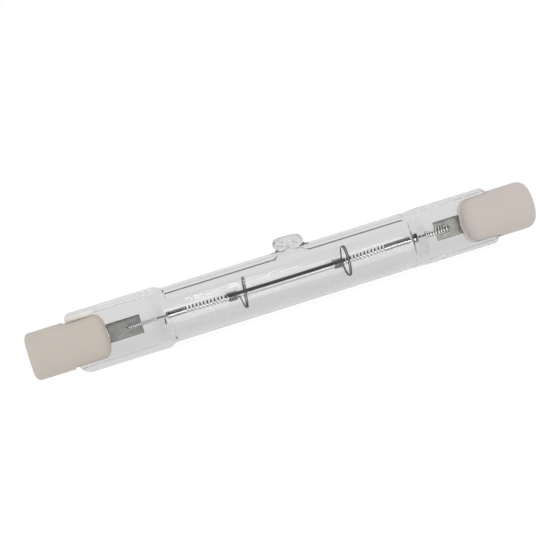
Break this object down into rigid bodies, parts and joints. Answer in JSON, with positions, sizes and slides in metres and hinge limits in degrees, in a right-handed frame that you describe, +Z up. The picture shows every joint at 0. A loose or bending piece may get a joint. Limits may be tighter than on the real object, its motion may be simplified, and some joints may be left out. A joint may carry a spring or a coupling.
{
  "type": "linear halogen bulb",
  "caption": "Double-ended linear halogen lamp: quartz tube with flat ribbed seals, coiled filament on ring supports, and slotted ceramic caps with recessed contacts.",
  "frame": {"origin": "on the surface the lamp lies on, under the middle of its length", "axes": "+X along the lamp, to the coarse lead winding's end; +Z up through the exhaust tip; +Y across the flat seals"},
  "size_m": [0.0782, 0.0084, 0.0108],
  "materials": {
    "quartz_glass": "clear, fire polished",
    "tungsten": "drawn wire, dark",
    "molybdenum_foil": "rolled, satin",
    "molybdenum_wire": "drawn wire",
    "nickel": "plated, satin",
    "sealing_cement": "matt",
    "steatite": "matt, unglazed"
  },
  "bodies": {
    "root": {"envelope": "quartz_glass", "filament": "tungsten", "support_left": "tungsten", "support_right": "tungsten", "inner_lead_left": "tungsten", "lead_winding_left": "tungsten", "foil_left": "molybdenum_foil", "outer_lead_left": "molybdenum_wire", "contact_left": "nickel", "cement_left": "sealing_cement", "cap_left": "steatite", "inner_lead_right": "tungsten", "lead_winding_right": "tungsten", "foil_right": "molybdenum_foil", "outer_lead_right": "molybdenum_wire", "contact_right": "nickel", "cement_right": "sealing_cement", "cap_right": "steatite"}
  },
  "joints": []
}
